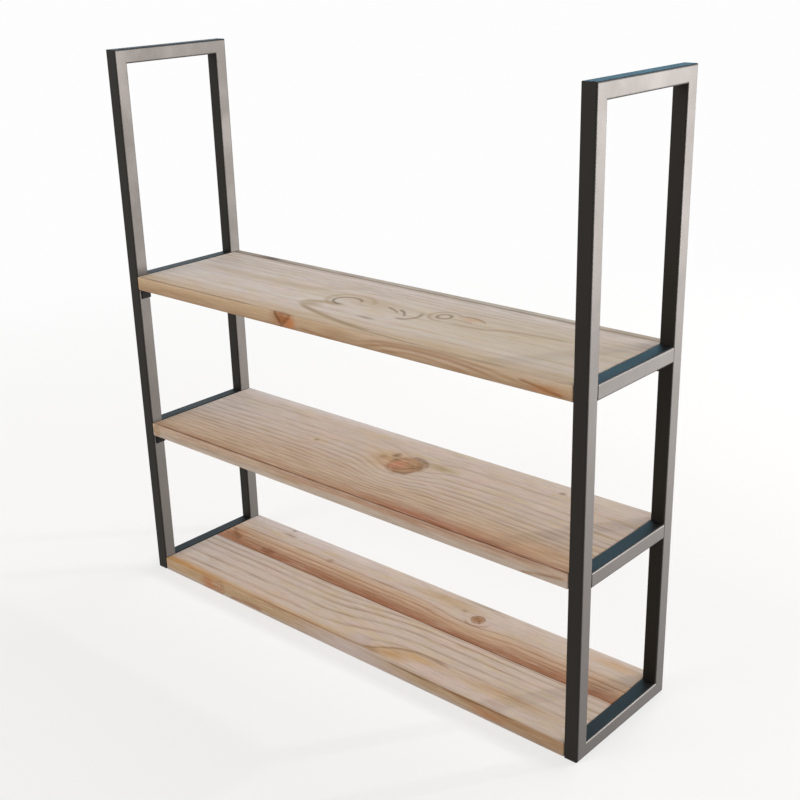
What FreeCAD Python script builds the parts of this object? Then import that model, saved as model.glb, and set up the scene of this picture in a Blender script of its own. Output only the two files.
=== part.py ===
import FreeCAD, Part
import math
import os

# An open shelf: two welded ladder frames of square steel tube with three softwood boards between
# them. Millimetres, +Z up, +Y to the rear. The origin is on the floor, in the middle of the shelf.

# The whole shelf
overall_width = 1000.0
overall_height = 1000.0
overall_depth = 250.0

# The square steel tube that both frames are welded from
tube_size = 25.0
tube_wall = 2.0
tube_corner_radius = 3.0

# The boards, and the height of the top faces of the two upper ones above the floor
board_thickness = 25.0
board_arris_radius = 2.0
top_board_height = 600.0
middle_board_height = 312.5

# The planks that two of the boards are glued up from
top_board_strip_width = 17.5
bottom_board_rear_plank_width = 118.5

# The bent steel bracket at each corner of each board. It sits back from the middle of its post,
# so that the board's edge and the post hide it from the front.
bracket_thickness = 2.0
bracket_bend_radius = 1.0
bracket_post_leg = 18.0
bracket_board_leg = 24.0
bracket_setback = 3.0
housing_clearance = 0.3

# The countersunk wood screw that goes up through each bracket
screw_length = 18.0
screw_point_length = 5.0
screw_shank_radius = 2.0
screw_head_radius = 3.75
screw_head_inset = 0.15
screw_hole_clearance = 0.25
drive_slot_width = 1.1
drive_slot_span = 4.4
drive_slot_depth = 1.2

# How far a cutting shape runs past what it cuts
cut_overrun = 5.0

# Worked out from the sizes above
half_width = overall_width / 2
half_depth = overall_depth / 2
half_board_length = half_width - tube_size
half_rung_length = half_depth - tube_size
bracket_width = tube_size - 2 * tube_corner_radius
bracket_centre_y = half_depth - tube_size / 2 - bracket_setback
screw_head_height = screw_head_radius - screw_shank_radius

X = FreeCAD.Vector(1, 0, 0)
Y = FreeCAD.Vector(0, 1, 0)
Z = FreeCAD.Vector(0, 0, 1)


def box(low, high):
    """A box between two opposite corners."""
    size = [end - start for start, end in zip(low, high)]
    return Part.makeBox(*size, FreeCAD.Vector(*low))


def edges_along(shape, direction):
    """The edges of a box that run along one of the three axes."""
    return [edge for edge in shape.Edges
            if round(abs(edge.tangentAt(edge.FirstParameter).dot(direction))) == 1]


def square_tube(low, high, direction):
    """A hollow square tube with rounded corners along one direction, open at both ends."""
    outside = box(low, high)
    outside = outside.makeFillet(tube_corner_radius, edges_along(outside, direction))
    inset = [-cut_overrun if along else tube_wall for along in direction]
    bore_low = [start + step for start, step in zip(low, inset)]
    bore_high = [end - step for end, step in zip(high, inset)]
    bore = box(bore_low, bore_high)
    bore = bore.makeFillet(tube_corner_radius - tube_wall, edges_along(bore, direction))
    return outside.cut(bore)


def mitre_wedge(low_x, end, level, cut_from):
    """A prism on one side of the 45 degree mitre in a frame's corner.

    end is -1 for the front corner and 1 for the rear one, level is -1 at the bottom and 1 at the
    top, and cut_from says which tube the prism is cut from, "post" or "rail".
    """
    corner_z = overall_height if level > 0 else 0
    reach = tube_size + cut_overrun
    outer_y = end * (half_depth + cut_overrun)
    outer_z = corner_z + level * cut_overrun
    inner_y = end * (half_depth - reach)
    inner_z = corner_z - level * reach
    start_x = low_x - cut_overrun
    outer = FreeCAD.Vector(start_x, outer_y, outer_z)
    inner = FreeCAD.Vector(start_x, inner_y, inner_z)
    if cut_from == "post":
        third = FreeCAD.Vector(start_x, inner_y, outer_z)
    else:
        third = FreeCAD.Vector(start_x, outer_y, inner_z)
    triangle = Part.Face(Part.makePolygon([outer, inner, third, outer]))
    return triangle.extrude(X * (tube_size + 2 * cut_overrun))


def post(low_x, end):
    """A full-height tube at the front (end -1) or the rear (end 1), mitred at both ends."""
    sides = sorted((end * half_depth, end * half_rung_length))
    shape = square_tube((low_x, sides[0], 0), (low_x + tube_size, sides[1], overall_height), Z)
    for level in (-1, 1):
        shape = shape.cut(mitre_wedge(low_x, end, level, "post"))
    return shape


def rail(low_x, level):
    """A full-depth tube at the bottom (level -1) or the top (level 1), mitred into both posts."""
    low_z = overall_height - tube_size if level > 0 else 0
    shape = square_tube((low_x, -half_depth, low_z), (low_x + tube_size, half_depth, low_z + tube_size), Y)
    for end in (-1, 1):
        shape = shape.cut(mitre_wedge(low_x, end, level, "rail"))
    return shape


def rung(low_x, top_z):
    """A tube cut square and butted between the posts, with its top level with a board's."""
    low = (low_x, -half_rung_length, top_z - tube_size)
    high = (low_x + tube_size, half_rung_length, top_z)
    return square_tube(low, high, Y)


def screw_body(x, y, face_z):
    """A countersunk wood screw without its drive slots, going up from a bracket's lower face."""
    head_z = face_z + screw_head_inset
    neck_z = head_z + screw_head_height
    tip_z = head_z + screw_length
    outline = [
        FreeCAD.Vector(0, 0, head_z),
        FreeCAD.Vector(screw_head_radius, 0, head_z),
        FreeCAD.Vector(screw_shank_radius, 0, neck_z),
        FreeCAD.Vector(screw_shank_radius, 0, tip_z - screw_point_length),
        FreeCAD.Vector(0, 0, tip_z),
        FreeCAD.Vector(0, 0, head_z),
    ]
    body = Part.Face(Part.makePolygon(outline)).revolve(FreeCAD.Vector(0, 0, 0), Z)
    body.translate(FreeCAD.Vector(x, y, 0))
    return body


def screw(x, y, face_z):
    """The wood screw with its crossed drive slots."""
    slot_top = face_z + screw_head_inset + drive_slot_depth
    slot_bottom = face_z - cut_overrun
    half_span = drive_slot_span / 2
    half_slot = drive_slot_width / 2
    shape = screw_body(x, y, face_z)
    for reach_x, reach_y in ((half_span, half_slot), (half_slot, half_span)):
        low = (x - reach_x, y - reach_y, slot_bottom)
        high = (x + reach_x, y + reach_y, slot_top)
        shape = shape.cut(box(low, high))
    return shape


def screw_hole(x, y, face_z):
    """What a bracket loses to its screw: the countersink and a hole that the shank passes freely."""
    inset_top = face_z + screw_head_inset
    mouth = Part.makeCylinder(screw_head_radius, screw_head_inset + cut_overrun,
                              FreeCAD.Vector(x, y, face_z - cut_overrun))
    seat = Part.makeCone(screw_head_radius, screw_shank_radius, screw_head_height,
                         FreeCAD.Vector(x, y, inset_top))
    passage = Part.makeCylinder(screw_shank_radius + screw_hole_clearance,
                                bracket_thickness + 2 * cut_overrun,
                                FreeCAD.Vector(x, y, face_z - cut_overrun))
    return mouth.fuse(seat).fuse(passage)


class Corner:
    """One corner of one board, where a bracket carries it.

    side is -1 at the left frame and 1 at the right, end is -1 at the front and 1 at the rear. The
    bracket's board leg lies flat under the board and its post leg hangs down. A board that lies on
    the floor has no room for that: there the post leg stands up between the frame and the board's
    end, and both legs are let into the board.
    """

    def __init__(self, side, end, top_z):
        self.side = side
        self.y = end * bracket_centre_y
        self.underside = top_z - board_thickness
        self.housed = self.underside < bracket_thickness
        self.upright = 1 if self.housed else -1
        self.lower_face = self.underside if self.housed else self.underside - bracket_thickness
        self.screw_x = side * (half_board_length - (bracket_board_leg + bracket_thickness) / 2)

    def place(self, away, along, y):
        """A point by its distance from the frame and its distance along the post leg."""
        x = self.side * (half_board_length - away)
        return FreeCAD.Vector(x, y, self.underside + self.upright * along)

    def bracket(self):
        """The bent plate, welded to the post's inner face, with its countersunk screw hole."""
        thick = bracket_thickness
        inner = bracket_bend_radius
        outer = inner + thick
        corner_share = 1 - math.sqrt(0.5)
        low_y = self.y - bracket_width / 2

        def at(away, along):
            return self.place(away, along, low_y)

        inner_middle = thick + inner * corner_share
        outer_middle = outer * corner_share
        outline = [
            Part.LineSegment(at(outer, 0), at(bracket_board_leg, 0)),
            Part.LineSegment(at(bracket_board_leg, 0), at(bracket_board_leg, thick)),
            Part.LineSegment(at(bracket_board_leg, thick), at(outer, thick)),
            Part.Arc(at(outer, thick), at(inner_middle, inner_middle), at(thick, outer)),
            Part.LineSegment(at(thick, outer), at(thick, bracket_post_leg)),
            Part.LineSegment(at(thick, bracket_post_leg), at(0, bracket_post_leg)),
            Part.LineSegment(at(0, bracket_post_leg), at(0, outer)),
            Part.Arc(at(0, outer), at(outer_middle, outer_middle), at(outer, 0)),
        ]
        face = Part.Face(Part.Wire([line.toShape() for line in outline]))
        plate = face.extrude(Y * bracket_width)
        return plate.cut(screw_hole(self.screw_x, self.y, self.lower_face))

    def screw(self):
        """The wood screw that holds the board down on the bracket."""
        return screw(self.screw_x, self.y, self.lower_face)

    def cuts(self):
        """What the board loses here: the screw's hole and, where the bracket is housed, its bed."""
        tools = [screw_body(self.screw_x, self.y, self.lower_face)]
        if self.housed:
            half = bracket_width / 2 + housing_clearance
            bend = bracket_thickness + bracket_bend_radius
            beds = (
                (bracket_board_leg + housing_clearance, bracket_thickness),
                (bracket_thickness + housing_clearance, bracket_post_leg + housing_clearance),
                (bend, bend),
            )
            for away, along in beds:
                start = self.place(-cut_overrun, -cut_overrun, self.y - half)
                stop = self.place(away, along, self.y + half)
                low = (min(start.x, stop.x), start.y, min(start.z, stop.z))
                high = (max(start.x, stop.x), stop.y, max(start.z, stop.z))
                tools.append(box(low, high))
        return tools


def board(top_z):
    """A full-depth board between the frames, with all its edges eased."""
    low = (-half_board_length, -half_depth, top_z - board_thickness)
    high = (half_board_length, half_depth, top_z)
    shape = box(low, high)
    return shape.makeFillet(board_arris_radius, shape.Edges)


def plank(whole, low_y, high_y):
    """The part of a board between two glue lines."""
    bounds = whole.BoundBox
    low = (bounds.XMin - cut_overrun, low_y, bounds.ZMin - cut_overrun)
    high = (bounds.XMax + cut_overrun, high_y, bounds.ZMax + cut_overrun)
    return whole.common(box(low, high))


def export(name, shapes):
    """Writes one node, as one solid or as a group of separate ones."""
    solids = [solid for shape in shapes for solid in shape.Solids]
    node = solids[0] if len(solids) == 1 else Part.makeCompound(solids)
    node.exportStep("parts/" + name + ".step")
    state = "valid" if node.isValid() else "NOT VALID"
    print(name, len(solids), "solid(s)", round(node.Volume), "mm3", state)


# The boards by name, with their top faces' heights and their planks as stretches of Y. The outer
# stretches run past the board so that they take its eased edges whole.
front_end = -half_depth - cut_overrun
rear_end = half_depth + cut_overrun
strip_line = half_depth - top_board_strip_width
bottom_glue_line = half_depth - bottom_board_rear_plank_width
boards = {
    "top": (top_board_height, {
        "top_board_wide_plank": (front_end, strip_line),
        "top_board_rear_strip": (strip_line, rear_end),
    }),
    "middle": (middle_board_height, {
        "middle_board": (front_end, rear_end),
    }),
    "bottom": (board_thickness, {
        "bottom_board_front_plank": (front_end, bottom_glue_line),
        "bottom_board_rear_plank": (bottom_glue_line, rear_end),
    }),
}

nodes = {}

# The two welded frames
for side_name, low_x in (("left", -half_width), ("right", half_width - tube_size)):
    nodes[side_name + "_front_post"] = [post(low_x, -1)]
    nodes[side_name + "_rear_post"] = [post(low_x, 1)]
    nodes[side_name + "_top_rail"] = [rail(low_x, 1)]
    nodes[side_name + "_bottom_rail"] = [rail(low_x, -1)]
    nodes[side_name + "_upper_rung"] = [rung(low_x, top_board_height)]
    nodes[side_name + "_lower_rung"] = [rung(low_x, middle_board_height)]

# The boards with the brackets and screws at their corners
for board_name, (top_z, planks) in boards.items():
    whole = board(top_z)
    screws = []
    for side_name, side in (("left", -1), ("right", 1)):
        for end_name, end in (("front", -1), ("rear", 1)):
            corner = Corner(side, end, top_z)
            nodes["_".join((board_name, side_name, end_name, "bracket"))] = [corner.bracket()]
            screws.append(corner.screw())
            for tool in corner.cuts():
                whole = whole.cut(tool)
    for plank_name, (low_y, high_y) in planks.items():
        nodes[plank_name] = [plank(whole, low_y, high_y)]
    nodes[board_name + "_board_screws"] = screws

os.makedirs("parts", exist_ok=True)
for name, shapes in nodes.items():
    export(name, shapes)
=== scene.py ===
import math

import bmesh
import bpy
from mathutils import Matrix, Vector

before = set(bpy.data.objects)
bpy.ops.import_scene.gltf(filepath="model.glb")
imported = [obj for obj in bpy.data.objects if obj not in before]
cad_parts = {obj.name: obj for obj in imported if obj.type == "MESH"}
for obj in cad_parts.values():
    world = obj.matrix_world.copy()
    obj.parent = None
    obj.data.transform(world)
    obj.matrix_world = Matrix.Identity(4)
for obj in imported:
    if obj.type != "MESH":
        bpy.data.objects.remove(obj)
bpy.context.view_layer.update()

scene = bpy.context.scene

# The camera
# It stands in front of the shelf to its right, a little higher than its top, and looks down and
# to the left across it, turned a touch about its own line of sight.
picture_pixels = 800
lens_in_pixels = 1243.6028
sensor_width = 36.0
turned_left = math.radians(41.97092)
tipped_down = math.radians(20.64065)
rolled = math.radians(-1.53284)
camera_place = (1.352739, -1.449362, 1.177654)
camera = bpy.data.objects.new("camera", bpy.data.cameras.new("camera"))
camera.data.sensor_width = sensor_width
camera.data.lens = lens_in_pixels * sensor_width / picture_pixels
camera.matrix_world = (
    Matrix.Translation(camera_place)
    @ Matrix.Rotation(turned_left, 4, "Z")
    @ Matrix.Rotation(math.radians(90) - tipped_down, 4, "X")
    @ Matrix.Rotation(rolled, 4, "Z")
)
scene.collection.objects.link(camera)
scene.camera = camera

# The two welded side frames
# Square steel tube with rounded corners, mitred at the frame's corners and butted at the rungs,
# welded, ground flush and sprayed with a satin black-brown paint.
tubes = (
    "front_post",
    "rear_post",
    "top_rail",
    "bottom_rail",
    "upper_rung",
    "lower_rung",
)


class Shade:
    """A number that varies over a piece, such as how dark the wood's year lines are."""

    def __init__(self, outlet):
        self.outlet = outlet
        self.tree = outlet.id_data

    def worked(self, operation, *others):
        """What a sum makes of this number and others."""
        node = self.tree.nodes.new("ShaderNodeMath")
        node.operation = operation
        for inlet, value in zip(node.inputs, (self,) + others):
            feed(self.tree, value, inlet)
        return Shade(node.outputs[0])

    def __add__(self, other):
        return self.worked("ADD", other)

    def __sub__(self, other):
        return self.worked("SUBTRACT", other)

    def __mul__(self, other):
        return self.worked("MULTIPLY", other)

    def __truediv__(self, other):
        return self.worked("DIVIDE", other)

    def size(self):
        return self.worked("ABSOLUTE")

    def rest(self):
        """What is left of one whole."""
        return self.worked("MULTIPLY_ADD", -1, 1)

    def eased(self, start, stop, low=0, high=1):
        """Runs smoothly from low to high while this number goes from start to stop."""
        node = self.tree.nodes.new("ShaderNodeMapRange")
        node.interpolation_type = "SMOOTHSTEP"
        for name, value in zip(("Value", "From Min", "From Max", "To Min", "To Max"),
                               (self, start, stop, low, high)):
            feed(self.tree, value, node.inputs[name])
        return Shade(node.outputs[0])


def feed(tree, value, inlet):
    """Sets an inlet to a plain value, or joins it to a shade."""
    if isinstance(value, Shade):
        tree.links.new(value.outlet, inlet)
    else:
        inlet.default_value = value


def new_finish(name):
    """A material with one surface shader, its node tree and the piece's own coordinates."""
    finish = bpy.data.materials.new(name)
    finish.use_nodes = True
    tree = finish.node_tree
    surface = tree.nodes["Principled BSDF"]
    place = tree.nodes.new("ShaderNodeTexCoord").outputs["Object"]
    return finish, tree, surface, place


def mottle(tree, place, scale, detail=2.0, roughness=0.5):
    """Soft random unevenness, from 0 to 1, with its middle at a half."""
    node = tree.nodes.new("ShaderNodeTexNoise")
    node.inputs["Scale"].default_value = scale
    node.inputs["Detail"].default_value = detail
    node.inputs["Roughness"].default_value = roughness
    tree.links.new(place, node.inputs["Vector"])
    return Shade(node.outputs["Fac"])


def relief(tree, surface, height, depth):
    """Raises and sinks the surface by depth metres times the height."""
    node = tree.nodes.new("ShaderNodeBump")
    node.inputs["Strength"].default_value = 1.0
    node.inputs["Distance"].default_value = depth
    feed(tree, height, node.inputs["Height"])
    tree.links.new(node.outputs["Normal"], surface.inputs["Normal"])


def blended(tree, below, above, share):
    """One colour laid over another, as far as the share says."""
    node = tree.nodes.new("ShaderNodeMix")
    node.data_type = "RGBA"
    feed(tree, share, node.inputs["Factor"])
    for name, colour in (("A", below), ("B", above)):
        inlet = [i for i in node.inputs if i.name == name and i.type == "RGBA"][0]
        if isinstance(colour, bpy.types.NodeSocket):
            tree.links.new(colour, inlet)
        else:
            inlet.default_value = tuple(colour) + (1.0,)
    return [o for o in node.outputs if o.type == "RGBA"][0]


def as_seen(red, green, blue):
    """A colour given as a screen shows it, from 0 to 255, in the shader's own terms."""
    def straight(level):
        level = level / 255
        return level / 12.92 if level <= 0.04045 else ((level + 0.055) / 1.055) ** 2.4
    return tuple(straight(level) for level in (red, green, blue))


def dress(names, finish):
    """Gives solids their finish."""
    for name in names:
        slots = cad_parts[name].data.materials
        slots.clear()
        slots.append(finish)


paint, tree, surface, place = new_finish("satin_black_paint")
peel = mottle(tree, place, scale=420.0, detail=3.0)
cloud = mottle(tree, place, scale=9.0, detail=4.0, roughness=0.6)
shades = blended(tree, as_seen(14, 10, 6), as_seen(24, 18, 11), cloud)
tree.links.new(shades, surface.inputs["Base Color"])
feed(tree, cloud.eased(0.3, 0.7, low=0.56, high=0.62), surface.inputs["Roughness"])
surface.inputs["Specular IOR Level"].default_value = 0.3
surface.inputs["Specular Tint"].default_value = (1.0, 0.93, 0.85, 1.0)
relief(tree, surface, peel, depth=0.00002)
dress([side + "_" + tube for side in ("left", "right") for tube in tubes], paint)

# The middle board
# One wide plank of planed pine with eased edges, screwed to a bracket at each corner. A big knot
# in its middle pushes the year lines aside, and its front edge runs into reddish heartwood.
# Places on the wood are in millimetres, and this is the boards' front face, across the shelf.
front_face = -125
millimetres_in_a_metre = 1000


class Pine:
    """The figure and colour of one plank, in millimetres along, across and below its top.

    Each call lays one more thing over what is there: its colour as a screen shows it, its places
    and sizes, and how much of it shows.
    """

    def __init__(self, name, top, pale, seed):
        self.finish, self.tree, self.surface, place = new_finish(name)
        node = self.tree.nodes.new("ShaderNodeVectorMath")
        node.operation = "MULTIPLY_ADD"
        self.tree.links.new(place, node.inputs[0])
        scale = millimetres_in_a_metre
        node.inputs[1].default_value = (scale, scale, -scale)
        node.inputs[2].default_value = (0, 0, top)
        self.spot = node.outputs["Vector"]
        node = self.tree.nodes.new("ShaderNodeSeparateXYZ")
        self.tree.links.new(self.spot, node.inputs["Vector"])
        self.along = Shade(node.outputs["X"])
        self.across = Shade(node.outputs["Y"])
        self.below = Shade(node.outputs["Z"])
        self.seed = seed
        self.colour = as_seen(*pale)
        slow_wave = (self.uneven(260, 60) - 0.5) * 6
        quick_wave = (self.uneven(60, 12) - 0.5) * 3
        self.drift = self.across + slow_wave + quick_wave
        self.on_front = self.across.eased(front_face + 2, front_face + 0.4)

    def uneven(self, along, across, detail=2.0, roughness=0.5):
        """Soft random unevenness, from 0 to 1, in patches so many millimetres long and wide."""
        node = self.tree.nodes.new("ShaderNodeMapping")
        node.inputs["Scale"].default_value = (1 / along, 1 / across, 1 / across)
        node.inputs["Location"].default_value = (self.seed, self.seed, self.seed)
        self.tree.links.new(self.spot, node.inputs["Vector"])
        return mottle(self.tree, node.outputs["Vector"], 1.0, detail, roughness)

    def away(self, centre, reach):
        """How far a spot is from a centre, counted in reaches along, across and below."""
        vector = self.spot
        for operation, amount in (("SUBTRACT", centre), ("DIVIDE", reach), ("LENGTH", None)):
            node = self.tree.nodes.new("ShaderNodeVectorMath")
            node.operation = operation
            self.tree.links.new(vector, node.inputs[0])
            if amount:
                node.inputs[1].default_value = amount
            vector = node.outputs["Value" if operation == "LENGTH" else "Vector"]
        return Shade(vector)

    def lay(self, colour, share):
        """Lays a colour over what is there."""
        self.colour = blended(self.tree, self.colour, as_seen(*colour), share)

    def tint(self, colour, centre, reach, share):
        """A soft patch of another colour."""
        self.lay(colour, self.away(centre, reach).eased(0, 1, share, 0))

    def front_patch(self, colour, place, size, share):
        """A soft patch on the front edge, at a place along it and below the top."""
        self.tint(colour, (place[0], front_face, place[1]), (size[0], 9, size[1]), share)

    def edge_tint(self, colour, start, stop, share, ends=(-900, -800)):
        """A band that fades in across the plank from start to stop, and along it between the ends."""
        self.lay(colour, self.drift.eased(start, stop, 0, share) * self.along.eased(*ends))

    def front_tint(self, colour, share, start=-2, stop=-1):
        """The front edge, from a depth below the top downwards."""
        self.lay(colour, self.on_front * self.below.eased(start, stop) * share)

    def clouds(self, colour, share, long=70, wide=16):
        """Patches where the wood is a little different."""
        self.seed += 7.7
        self.lay(colour, self.uneven(long, wide).eased(0.48, 0.68) * share)

    def cloudy(self, pink_share, straw_share, lilac_share):
        """The three kinds of patches that the wide planks have."""
        self.clouds(pinkish, pink_share)
        self.clouds(straw, straw_share)
        self.clouds(lilac, lilac_share, 34, 9)

    def swerve(self, centre, reach, push):
        """Pushes the year lines forwards round a place."""
        self.drift = self.drift + self.away(centre, reach).eased(0, 1, push, 0)

    def curve(self, share, heights):
        """A smooth curve through points, both ways from 0 to 1."""
        node = self.tree.nodes.new("ShaderNodeFloatCurve")
        points = node.mapping.curves[0].points
        for index, (x, y) in enumerate(heights):
            if index < 2:
                points[index].location = (x, y)
            else:
                points.new(x, y)
        node.mapping.update()
        feed(self.tree, share, node.inputs["Value"])
        return Shade(node.outputs["Value"])

    def year_lines(self, places, colour, share, slope=1.2):
        """Darkens each year towards its line and stops it short there, at places across the plank.

        The slope leans the lines where they come down the front edge.
        """
        slow_side, quick_side = 9, 3.6
        first, last = places[0], places[-1]
        steps = len(places) - 1
        gaps = [abs(places[min(i + 1, steps)] - places[max(i - 1, 0)]) / 2 for i in range(steps + 1)]
        run = (self.drift - self.below * slope - first) / (last - first)
        spots = [(place - first) / (last - first) for place in places]
        year = (self.curve(run, [(x, i / steps) for i, x in enumerate(spots)]) * steps).worked("FRACT")
        gap = self.curve(run, [(x, g / max(gaps)) for x, g in zip(spots, gaps)]) * max(gaps)
        rise = (year.rest() * gap).eased(0, slow_side, 1, 0)
        fall = (year * gap).eased(0, quick_side, 1, 0)
        line = rise.worked("MAXIMUM", fall)
        fade = self.uneven(150, 16).eased(0.3, 0.62, 0.4, 1)
        self.lay(colour, line * fade * share)
        self.line = line

    def knot(self, centre, size, heart, rim, rings=3.0, share=0.85):
        """A branch cut through: a brown heart, its own small rings and a darker rim."""
        out = self.away(centre, size) + (self.uneven(18, 18) - 0.5) * 0.6
        body = out.eased(0.7, 1.25, share, 0)
        ring = (out * rings).worked("FRACT").eased(0.3, 0.9)
        self.lay(heart, body)
        self.lay(rim, body * ring * self.uneven(12, 12).eased(0.35, 0.6, 0.1, 0.6))
        edge = (out - 1).size().eased(0, 0.3, share * 0.6, 0)
        self.lay(rim, edge * self.uneven(14, 14).eased(0.35, 0.6, 0.2, 1))

    def stroke(self, points, width, colour, share, front=False):
        """A dark line drawn through points, on the top or down the front, fading at both ends."""
        (first, last), (low, high) = [(min(v), max(v)) for v in zip(*points)]
        run = (self.along - first) / (last - first)
        heights = [((x - first) / (last - first), (y - low) / (high - low)) for x, y in points]
        line = (self.below if front else self.across) - self.curve(run, heights) * (high - low) - low
        ends = run.eased(0, 0.15) * run.eased(0.85, 1, 1, 0)
        place = self.on_front if front else self.on_front.rest()
        self.lay(colour, (line.size() / width).eased(0, 1, share, 0) * ends * place)

    def arc(self, centre, radii, width, colour, share, gap_towards, gap=0.3):
        """A dark ring that is open on one side."""
        out = (self.away(centre + (0,), radii + (1000,)) - 1).size()
        side = (self.along - centre[0]) * gap_towards[0] + (self.across - centre[1]) * gap_towards[1]
        closed = side.eased(gap * radii[0], (gap + 0.65) * radii[0], 1, 0)
        self.lay(colour, out.eased(0, width / radii[0], share, 0) * closed)

    def fibres(self, dark, share=0.3):
        """Fine streaks and short resin pores along the plank."""
        band = self.uneven(60, 3.4, 3.0, 0.6)
        streak = self.uneven(34, 0.8, 4.0, 0.65)
        pore = self.uneven(9, 0.5, 1.0)
        self.lay(dark, band.eased(0.48, 0.72, 0, share * 0.8))
        self.lay(fresh, band.eased(0.28, 0.52, share, 0))
        self.lay(dark, streak.eased(0.35, 0.75, 0, share))
        self.lay(dark, pore.eased(0.66, 0.8, 0, share))
        self.fine = streak

    def finish_off(self, name):
        """Joins the colour to the surface, with a little relief, and puts it on its plank."""
        self.tree.links.new(self.colour, self.surface.inputs["Base Color"])
        self.surface.inputs["Specular IOR Level"].default_value = 0.1
        roughness = self.fine.eased(0.3, 0.7, low=0.62, high=0.72)
        feed(self.tree, roughness, self.surface.inputs["Roughness"])
        relief(self.tree, self.surface, self.line * -0.5 + self.fine, depth=0.00006)
        dress([name], self.finish)


pore_brown = (130, 98, 70)
year_brown = (146, 118, 92)
pinkish = (212, 184, 172)
straw = (202, 184, 146)
lilac = (202, 188, 190)
fresh = (222, 206, 188)
glue_brown = (112, 90, 74)
middle = Pine("middle_board_pine", 312.5, (201, 186, 174), 3.1)
# The year lines bow forwards towards both ends and swerve round the knot.
bend = (middle.along + 180) / 130
middle.drift = middle.drift + bend * bend
middle.swerve((42, 15, 0), (105, 130, 200), 27)
middle.swerve((42, 0, 0), (230, 140, 200), 11)
# The ground: cloudy, pale and greyish at the left end and along the back, partly the wood's own tone and
# partly a painted sheen, and reddish brown towards the front.
middle.cloudy(0.45, 0.5, 0.45)
middle.tint((200, 193, 192), (-480, 0, 0), (330, 180, 200), 0.7)
middle.edge_tint((212, 202, 194), 98, 124, 0.4)
middle.edge_tint((216, 209, 209), 96, 120, 0.8, (60, -120))
middle.edge_tint((194, 168, 141), 30, -100, 0.75)
middle.edge_tint((166, 118, 84), -92, -122, 0.6)
middle.year_lines((160, 150, 83.5, 52, 31, 14, -1, -16, -31, -42.5, -53.5, -64.5, -75, -86.5, -98.5,
                   -108.5, -120.5, -131), year_brown, middle.across.eased(70, -70, 0.36, 0.5))
middle.edge_tint((150, 78, 42), -74, -112, 0.85, (-90, 230))
middle.tint((198, 148, 100), (400, -92, 0), (230, 40, 60), 0.4)
# The big knot: a halo, its rings, and dark cracks and flecks.
middle.tint((188, 152, 108), (8, 28, 0), (92, 60, 60), 0.85)
middle.tint((168, 150, 108), (94, 50, 0), (50, 16, 60), 0.85)
middle.knot((37, 22, 0), (30, 32, 60), (172, 130, 92), (124, 90, 56), 1.9)
middle.tint((196, 126, 100), (22, 17, 0), (26, 30, 60), 0.62)
middle.tint((138, 102, 62), (61, 28, 0), (20, 26, 60), 0.5)
middle.stroke([(20, 6), (36, 2), (52, 18), (66, 30)], 6, (98, 60, 26), 0.5)
middle.stroke([(30, -6), (45, -6), (60, 4), (70, 14)], 5, (110, 70, 34), 0.5)
middle.stroke([(32, 38), (46, 27), (58, 33), (72, 22)], 5, (110, 76, 42), 0.45)
middle.tint((100, 72, 42), (-4, 47, 0), (12, 17, 60), 0.75)
middle.tint((112, 80, 48), (7, 34, 0), (11, 11, 60), 0.6)
middle.tint((142, 110, 76), (-20, 28, 0), (14, 16, 60), 0.5)
middle.stroke([(24, 58), (46, 58), (64, 49), (78, 30)], 9, (112, 88, 54), 0.6)
# Two pin knots.
middle.tint((132, 112, 88), (-169, 12, 0), (9, 7, 40), 0.75)
middle.tint((136, 112, 84), (315, 95, 0), (11, 8, 40), 0.8)
# The dark front arris, and the front edge with its bands, its lines and one small knot.
middle.stroke([(-560, -121.4), (0, -121.5), (560, -121.5)], 3.6, (92, 48, 16), 0.85)
middle.front_tint((195, 174, 155), 0.85)
middle.front_tint((190, 178, 169), 0.7, 8, 18)
middle.front_patch((158, 136, 112), (-380, 14), (320, 9), 0.4)
middle.front_patch((192, 152, 128), (-300, 6), (300, 8), 0.3)
middle.front_patch((172, 134, 98), (-90, 13), (90, 8), 0.6)
middle.stroke([(-180, 4.5), (100, 3.5), (475, 3.5)], 3.6, (162, 102, 72), 0.5, front=True)
middle.stroke([(-140, 9), (60, 7.5), (260, 8.5)], 3.4, (170, 114, 84), 0.45, front=True)
middle.stroke([(385, 24), (430, 16), (475, 10)], 4, (150, 112, 80), 0.7, front=True)
middle.knot((-462, front_face, 13), (9, 12, 9), (180, 152, 124), (140, 112, 86), 2.0)
middle.fibres(pore_brown)
middle.finish_off("middle_board")

# The top board
# A wide plank of pale planed pine with a row of small knots, and a narrow strip of the same wood
# glued along its rear edge. It is screwed to its brackets as the middle board is.
top = Pine("top_board_pine", 600, (210, 199, 190), 11.7)
# The ground: cloudy, browner at the right and in front, and pale at the left end and along the back,
# partly the wood's own tone and partly a painted sheen.
top.swerve((-40, 30, 0), (170, 60, 200), -14)
top.cloudy(0.5, 0.5, 0.5)
top.tint((197, 179, 154), (300, 0, 0), (420, 150, 60), 0.7)
top.tint((194, 170, 140), (235, -104, 0), (130, 30, 60), 0.7)
top.tint((203, 197, 195), (-480, 10, 0), (360, 220, 200), 0.5)
top.edge_tint((192, 166, 135), -66, -122, 0.8)
top.edge_tint((222, 212, 208), 50, 92, 0.65)
# Year lines, wide apart in front and close together at the back.
top.year_lines((130, 100, 83, 69, 55, 37, 9, -16, -62, -83, -106, -124, -140), (170, 144, 116), 0.3)
top.year_lines(tuple(range(124, 40, -6)), (166, 146, 122), top.across.eased(40, 85, 0, 0.2))
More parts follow.
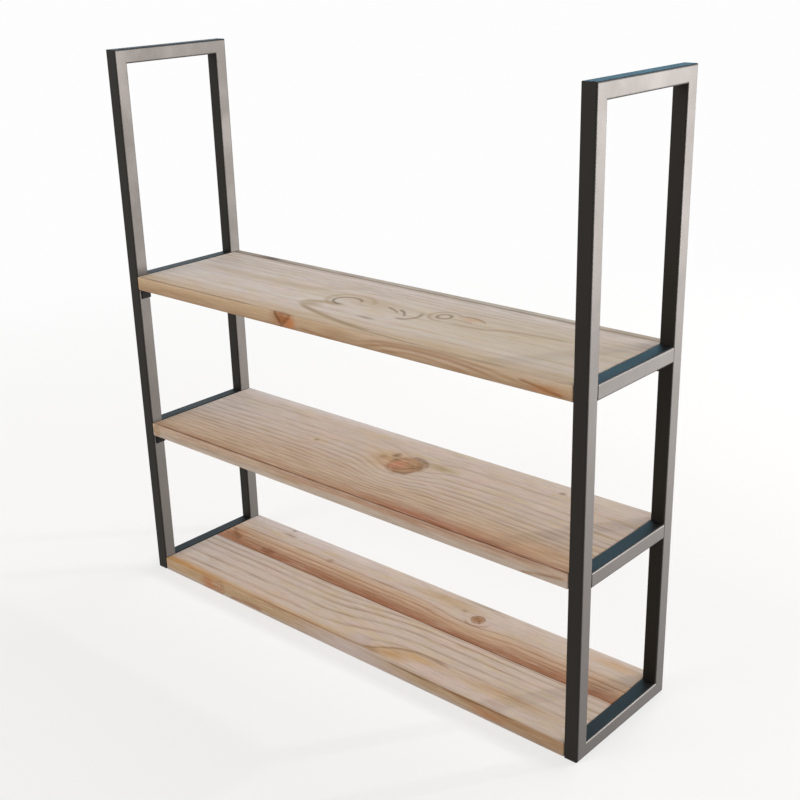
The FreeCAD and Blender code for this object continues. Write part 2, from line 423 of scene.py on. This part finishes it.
# The long open figure from the left end to the front edge.
top.tint((194, 174, 150), (-120, 6, 0), (360, 24, 60), 0.6)
top.tint((190, 170, 146), (0, 10, 0), (90, 34, 60), 0.7)
top.stroke([(-465, 12), (-180, 10), (-135, 28), (-90, 54), (-50, 66)], 22, (184, 162, 136), 0.45)
top.stroke([(145, -5), (210, -3), (270, 17), (385, 30)], 10, (158, 130, 98), 0.5)
top.stroke([(-124, -52), (-104, -68), (-65, -83), (-10, -97), (20, -102.5), (60, -109), (105, -115)], 10,
           (150, 124, 90), 0.75)
top.stroke([(-124, -58), (-100, -42), (-75, -34), (-45, -30)], 13, (164, 140, 108), 0.65)
top.stroke([(60, -112), (150, -117), (260, -120.5), (380, -122)], 5, (146, 118, 86), 0.65)
top.tint((168, 144, 114), (-96, -56, 0), (34, 26, 60), 0.7)
# Small knots in a row, some of them open rings, with flecks and a resin stain between them.
top.arc((-54, -10), (27, 21), 5.5, (102, 80, 52), 0.75, (0.9, -0.5))
top.arc((-50, -6), (46, 34), 10.0, (168, 144, 112), 0.5, (0.7, -0.9))
top.stroke([(24, 4), (44, -3), (62, -12)], 4.5, (116, 88, 50), 0.7)
top.stroke([(50, 4), (62, -1), (72, -9), (82, -22)], 6, (106, 84, 48), 0.7)
top.arc((80, -10), (21, 24), 7.0, (132, 106, 70), 0.65, (-0.9, 0.42), -0.6)
top.arc((134, 17), (12, 12), 5.0, (120, 98, 66), 0.72, (0.25, -0.2))
top.arc((136, 17), (28, 24), 7.0, (166, 142, 112), 0.6, (1.0, -0.2))
top.tint((200, 142, 96), (180, 28, 0), (32, 16, 50), 0.45)
top.stroke([(152, 32), (176, 38), (200, 32), (214, 20)], 5, (148, 118, 84), 0.7)
top.stroke([(150, 10), (172, 16), (196, 12)], 4, (158, 128, 96), 0.6)
top.tint((130, 112, 86), (36, -62, 0), (30, 8, 40), 0.7)
# The dark glue line of the rear strip.
top.stroke([(-560, 108.2), (0, 108), (560, 107.8)], 6.5, glue_brown, 0.55)
# The front edge: its bands, an amber wedge between two cracks, and flat arches of the figure.
top.front_tint((188, 160, 129), 0.9)
# Darker towards the bottom of the front edge: painted shade along its lower arris.
top.front_tint((156, 128, 104), 0.75, 13, 23)
top.front_tint((200, 175, 148), 0.75, 5, 3)
top.front_patch((158, 128, 100), (-380, 14), (300, 8), 0.55)
top.front_patch((208, 188, 170), (215, 8), (250, 17), 0.7)
top.front_patch((200, 182, 166), (420, 3), (110, 9), 0.6)
top.stroke([(-480, -122.6), (-320, -122.8), (-150, -122.4)], 3.4, (128, 96, 68), 0.8)
top.front_patch((152, 96, 56), (-94, 10), (36, 30), 0.95)
top.front_patch((190, 116, 66), (-76, 14), (20, 18), 0.8)
top.stroke([(-114, 0), (-102, 12), (-94, 25)], 9, (112, 66, 34), 0.8, front=True)
top.stroke([(-98, 24), (-86, 12), (-72, 0)], 8, (126, 74, 38), 0.7, front=True)
top.stroke([(52, 20), (95, 12), (150, 5), (235, 2.5), (305, 6), (360, 12), (425, 22)], 4.5,
           (156, 122, 88), 0.65, front=True)
top.stroke([(66, 25), (112, 15), (170, 8.5), (240, 8), (305, 13), (370, 24)], 4.5,
           (150, 110, 76), 0.7, front=True)
top.stroke([(108, 25), (150, 18), (200, 15), (260, 18), (305, 25)], 4, (156, 118, 82), 0.6, front=True)
top.front_patch((158, 126, 96), (30, 13), (70, 10), 0.6)
top.stroke([(-60, 16), (0, 22), (60, 25)], 4, (150, 112, 78), 0.6, front=True)
top.front_patch((176, 112, 62), (434, 17), (48, 10), 0.75)
top.stroke([(380, 10), (420, 15), (465, 22)], 4, (134, 88, 48), 0.7, front=True)
top.fibres(pore_brown, top.across.eased(10, 70, 0.17, 0.36))
top.finish_off("top_board_wide_plank")
# The rear strip: darker at both ends, with a nearly black spot towards the left one.
strip = Pine("rear_strip_pine", 600, (207, 199, 186), 17.3)
strip.clouds((168, 158, 148), 0.5)
strip.tint((186, 168, 150), (450, 116, 0), (170, 40, 60), 0.7)
strip.year_lines((130, 124, 117, 111, 104), (132, 112, 90), 0.4)
strip.tint((146, 136, 124), (-440, 116, 0), (320, 40, 60), 0.9)
strip.tint((78, 64, 52), (-375, 116, 0), (42, 12, 30), 0.9)
strip.stroke([(-560, 108.2), (0, 108), (560, 107.8)], 8, glue_brown, 0.7)
strip.fibres(pore_brown)
strip.finish_off("top_board_rear_strip")

# The bottom board
# Two planks of planed pine glued edge to edge: a pale one with wide year lines in front, and
# behind it one whose reddish heartwood lies along the glue line. Brackets are let into its corners.
front = Pine("front_plank_pine", 25, (204, 189, 176), 23.9)
# Past the middle the year lines step back, except close to the front edge.
rise = (front.along + (front.across + 27) * 0.52 - 5).eased(-123, 123)
rise = rise * front.across.eased(-125.5, -85.5)
step_back = front.across * -0.3 + 28.4
front.drift = front.drift - rise * step_back
# The ground: cloudy, pale at the left end, partly the wood's own tone and partly a painted sheen, and
# amber along the left half of the front.
front.cloudy(0.45, 0.5, 0.45)
front.tint((200, 192, 190), (-480, -10, 0), (400, 190, 60), 0.55)
front.edge_tint((194, 158, 112), -102, -119, 0.8, (70, -60))
front.year_lines((20, 5, -9.5, -25, -42, -66, -94.5, -121, -162, -190, -220), year_brown, 0.54)
# A tongue of darker wood right of the middle, with pale wood round it.
front.tint((206, 188, 182), (235, -101, 0), (110, 18, 60), 0.75)
front.tint((188, 150, 98), (104, -104, 0), (66, 24, 60), 0.9)
front.tint((164, 128, 92), (335, -79, 0), (95, 9, 60), 0.8)
front.tint((192, 164, 130), (330, -84, 0), (210, 22, 60), 0.75)
front.tint((192, 156, 106), (150, -86, 0), (76, 19, 60), 0.9)
front.tint((204, 190, 186), (30, -100, 0), (42, 20, 60), 0.95)
front.stroke([(34, -121), (64, -111), (80, -100), (100, -87), (120, -79), (150, -73.5), (220, -76)], 6.5,
             (124, 92, 50), 0.6)
front.tint((150, 112, 62), (72, -114, 0), (26, 9, 60), 0.6)
# An amber patch and a fine line at the left, close to the front edge.
front.tint((186, 138, 80), (-420, -122, 0), (170, 26, 60), 0.85)
front.stroke([(-230, -118), (-80, -119), (70, -118)], 3.5, (140, 104, 70), 0.7)
# The front edge: pale in the middle and brown towards its ends, with a small knot.
front.front_tint((190, 162, 130), 0.9)
front.front_tint((186, 175, 169), 0.75, 13, 23)
front.front_patch((204, 190, 186), (20, 12), (190, 34), 0.95)
front.front_patch((180, 112, 70), (-345, 12), (34, 22), 0.85)
front.knot((-315, front_face, 12), (13, 12, 11), (194, 152, 122), (116, 78, 48), 1.6)
front.stroke([(-290, 24), (-240, 17), (-190, 19)], 5, (150, 98, 66), 0.7, front=True)
front.stroke([(100, 1.0), (190, 2.8), (280, 2.7), (400, 1.0)], 2.8, (112, 78, 48), 0.85, front=True)
front.front_patch((156, 108, 66), (345, 5), (170, 8), 0.65)
front.front_patch((182, 118, 72), (330, 14), (60, 12), 0.7)
front.front_patch((166, 126, 90), (440, 14), (120, 24), 0.6)
front.fibres(pore_brown)
front.finish_off("bottom_board_front_plank")
rear = Pine("rear_plank_pine", 25, (202, 187, 174), 29.3)
# The rear plank's ground: pale along the back, partly the wood's own tone and partly a painted sheen,
# and red heartwood towards the glue line.
rear.swerve((145, 60, 0), (120, 70, 200), 14)
rear.cloudy(0.45, 0.45, 0.45)
rear.edge_tint((214, 203, 197), 92, 122, 0.5)
rear.edge_tint((214, 205, 205), 88, 116, 0.7, (-60, -200))
rear.edge_tint((194, 160, 128), 80, 48, 0.8)
rear.edge_tint((150, 90, 58), 46, 10, 0.85)
rear.year_lines((160, 66, 48.5, 36, 26, 17, 8, -6), (136, 88, 56), 0.55)
rear.tint((188, 162, 126), (72, 98, 0), (120, 24, 40), 0.9)
rear.tint((166, 150, 130), (140, 120, 0), (70, 11, 40), 0.7)
rear.tint((200, 162, 118), (425, 104, 0), (75, 18, 40), 0.75)
# The knot right of the middle, with a crack through it and a swirl in front of it.
rear.knot((154, 77, 0), (12.5, 12, 40), (168, 122, 82), (112, 74, 42), 1.6)
rear.stroke([(142, 86), (154, 77), (166, 66)], 5, (94, 56, 26), 0.45)
rear.stroke([(132, 64), (150, 55), (164, 57), (176, 66), (186, 80)], 4.5, (146, 108, 70), 0.55)
rear.tint((150, 124, 98), (115, 86, 0), (11, 8, 40), 0.6)
# Two stubs of branches at the left, close to the glue line, and small marks behind them.
rear.tint((172, 112, 70), (-447, 34, 0), (48, 34, 40), 0.75)
rear.stroke([(-470, 52), (-450, 38), (-420, 24)], 11, (110, 68, 36), 0.6)
rear.stroke([(-470, 30), (-448, 25), (-422, 34)], 7, (92, 54, 24), 0.5)
rear.tint((138, 80, 46), (-338, 22, 0), (30, 17, 40), 0.65)
rear.stroke([(-360, 31), (-340, 22), (-318, 27)], 7, (98, 56, 28), 0.5)
rear.tint((150, 122, 94), (-210, 70, 0), (13, 12, 40), 0.7)
rear.tint((138, 122, 104), (-358, 117, 0), (9, 5, 30), 0.8)
rear.tint((152, 134, 112), (-352, 98, 0), (30, 6, 30), 0.8)
# The dark glue line.
rear.stroke([(-478, 8.2), (0, 8), (478, 8.2)], 2.2, (86, 48, 28), 0.75)
rear.fibres(pore_brown)
rear.finish_off("bottom_board_rear_plank")

# The brackets and screws
# Small brackets of bent flat steel, one at each corner of each board, painted matt black. Zinc
# plated countersunk wood screws go up through them into the boards.
matt, tree, surface, place = new_finish("matt_black_paint")
grain = mottle(tree, place, scale=900.0, detail=3.0)
shades = blended(tree, as_seen(20, 18, 16), as_seen(28, 25, 22), grain)
tree.links.new(shades, surface.inputs["Base Color"])
feed(tree, grain.eased(0.3, 0.7, low=0.7, high=0.8), surface.inputs["Roughness"])
surface.inputs["Specular IOR Level"].default_value = 0.06
relief(tree, surface, grain, depth=0.00003)
zinc, tree, surface, place = new_finish("bright_zinc")
bloom = mottle(tree, place, scale=700.0, detail=3.0)
shades = blended(tree, as_seen(178, 180, 184), as_seen(202, 203, 200), bloom)
tree.links.new(shades, surface.inputs["Base Color"])
surface.inputs["Metallic"].default_value = 1.0
feed(tree, bloom.eased(0.3, 0.7, low=0.28, high=0.42), surface.inputs["Roughness"])
dress([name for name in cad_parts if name.endswith("bracket")], matt)
dress([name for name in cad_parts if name.endswith("screws")], zinc)

# The studio
# A pale floor under a white background. A lamp in front lights everything, and two behind light
# what is matt. Three more behind show in the gloss alone: a sky-coloured one, a pale one at the
# left, and a strong low one far to the right, for the sheen of the frames' right-hand faces.
floor_reach = 30.0
floor_grey = 0.9
plain_white = (0.985, 0.985, 0.985)
# Up to the first distance from the shelf's middle, in metres, the floor shows a third of its
# shadow. Past the second it is as white as the background.
shadow_reach = 0.6
white_from = 3.0
least_glow = 0.66
floor_mesh = bpy.data.meshes.new("floor")
form = bmesh.new()
bmesh.ops.create_grid(form, x_segments=1, y_segments=1, size=floor_reach)
form.to_mesh(floor_mesh)
form.free()
floor = bpy.data.objects.new("floor", floor_mesh)
scene.collection.objects.link(floor)
floor_finish, tree, surface, place = new_finish("pale_floor")
surface.inputs["Base Color"].default_value = (floor_grey, floor_grey, floor_grey, 1.0)
surface.inputs["Roughness"].default_value = 0.9
surface.inputs["Specular IOR Level"].default_value = 0.0
floor_mesh.materials.append(floor_finish)


def seen_straight(tree):
    """One for what the camera sees, straight or in gloss or glass, and nothing for other light."""
    path = tree.nodes.new("ShaderNodeLightPath")
    seen = Shade(path.outputs["Is Camera Ray"])
    for ray in ("Is Glossy Ray", "Is Transmission Ray"):
        seen = seen.worked("MAXIMUM", Shade(path.outputs[ray]))
    return seen


def mixed(tree, below, above, share):
    """One surface laid over another, as far as the share says."""
    node = tree.nodes.new("ShaderNodeMixShader")
    feed(tree, share, node.inputs["Fac"])
    tree.links.new(below, node.inputs[1])
    tree.links.new(above, node.inputs[2])
    return node.outputs["Shader"]


far = tree.nodes.new("ShaderNodeVectorMath")
far.operation = "LENGTH"
tree.links.new(place, far.inputs[0])
glow = tree.nodes.new("ShaderNodeEmission")
glow.inputs["Color"].default_value = plain_white + (1.0,)
share = Shade(far.outputs["Value"]).eased(shadow_reach, white_from, least_glow, 1.0)
share = share * seen_straight(tree)
shown = mixed(tree, surface.outputs["BSDF"], glow.outputs["Emission"], share)
tree.links.new(shown, tree.nodes["Material Output"].inputs["Surface"])
aim = (0.0, 0.0, 0.4)


def lamp(name, place, size, watts, colour, on_matt=True, in_gloss=True):
    """A soft rectangular lamp, aimed at the shelf, for matt surfaces, for gloss or for both."""
    light = bpy.data.lights.new(name, "AREA")
    light.shape = "RECTANGLE"
    light.size, light.size_y = size
    light.energy = watts
    light.color = colour
    body = bpy.data.objects.new(name, light)
    body.location = place
    body.rotation_euler = (Vector(aim) - Vector(place)).to_track_quat("-Z", "Y").to_euler()
    body.visible_camera = False
    body.visible_diffuse = on_matt
    body.visible_glossy = in_gloss
    scene.collection.objects.link(body)


lamp("front_lamp", (-1.2, -3.4, 2.4), (2.4, 1.6), 62.0, (1.0, 0.96, 0.9))
lamp("rear_lamp", (0.6, 3.4, 2.5), (3.2, 1.6), 90.0, (1.0, 0.97, 0.95), in_gloss=False)
lamp("side_lamp", (2.88, 3.6, 2.2), (0.1, 0.1), 62.0, (1.0, 0.95, 0.9), in_gloss=False)
lamp("sky_lamp", (-1.4, 3.4, 2.2), (2.6, 1.6), 34.0, (0.25, 0.72, 1.0), on_matt=False)
lamp("left_lamp", (-3.5, 2.3, 2.1), (2.0, 1.2), 13.0, (1.0, 0.95, 0.92), on_matt=False)
lamp("sheen_lamp", (9.5, 7.4, 0.5), (3.4, 0.9), 8700.0, (1.0, 0.96, 0.96), on_matt=False)

# The camera sees a plain white world. Gloss mirrors a sky that turns from white to blue between
# two heights, and matt surfaces get an even warm light.
room_light = (1.0, 0.98, 0.95)
room_strength = 0.45
sky_blue = (0.2, 0.6, 0.95)
blue_starts = 0.1
blue_is_full = 0.62
world = bpy.data.worlds.new("white_room")
scene.world = world
world.use_nodes = True
tree = world.node_tree
for node in list(tree.nodes):
    tree.nodes.remove(node)
room = tree.nodes.new("ShaderNodeBackground")
room.inputs["Color"].default_value = room_light + (1.0,)
room.inputs["Strength"].default_value = room_strength
white = tree.nodes.new("ShaderNodeBackground")
white.inputs["Color"].default_value = plain_white + (1.0,)
sky = tree.nodes.new("ShaderNodeBackground")
up = tree.nodes.new("ShaderNodeSeparateXYZ")
tree.links.new(tree.nodes.new("ShaderNodeTexCoord").outputs["Generated"], up.inputs[0])
height = Shade(up.outputs["Z"]).eased(blue_starts, blue_is_full)
tree.links.new(blended(tree, plain_white, sky_blue, height), sky.inputs["Color"])
out = tree.nodes.new("ShaderNodeOutputWorld")
path = tree.nodes.new("ShaderNodeLightPath")
mirrored = mixed(tree, white.outputs[0], sky.outputs[0], Shade(path.outputs["Is Glossy Ray"]))
tree.links.new(mixed(tree, room.outputs[0], mirrored, seen_straight(tree)), out.inputs["Surface"])
scene.view_settings.view_transform = "Standard"
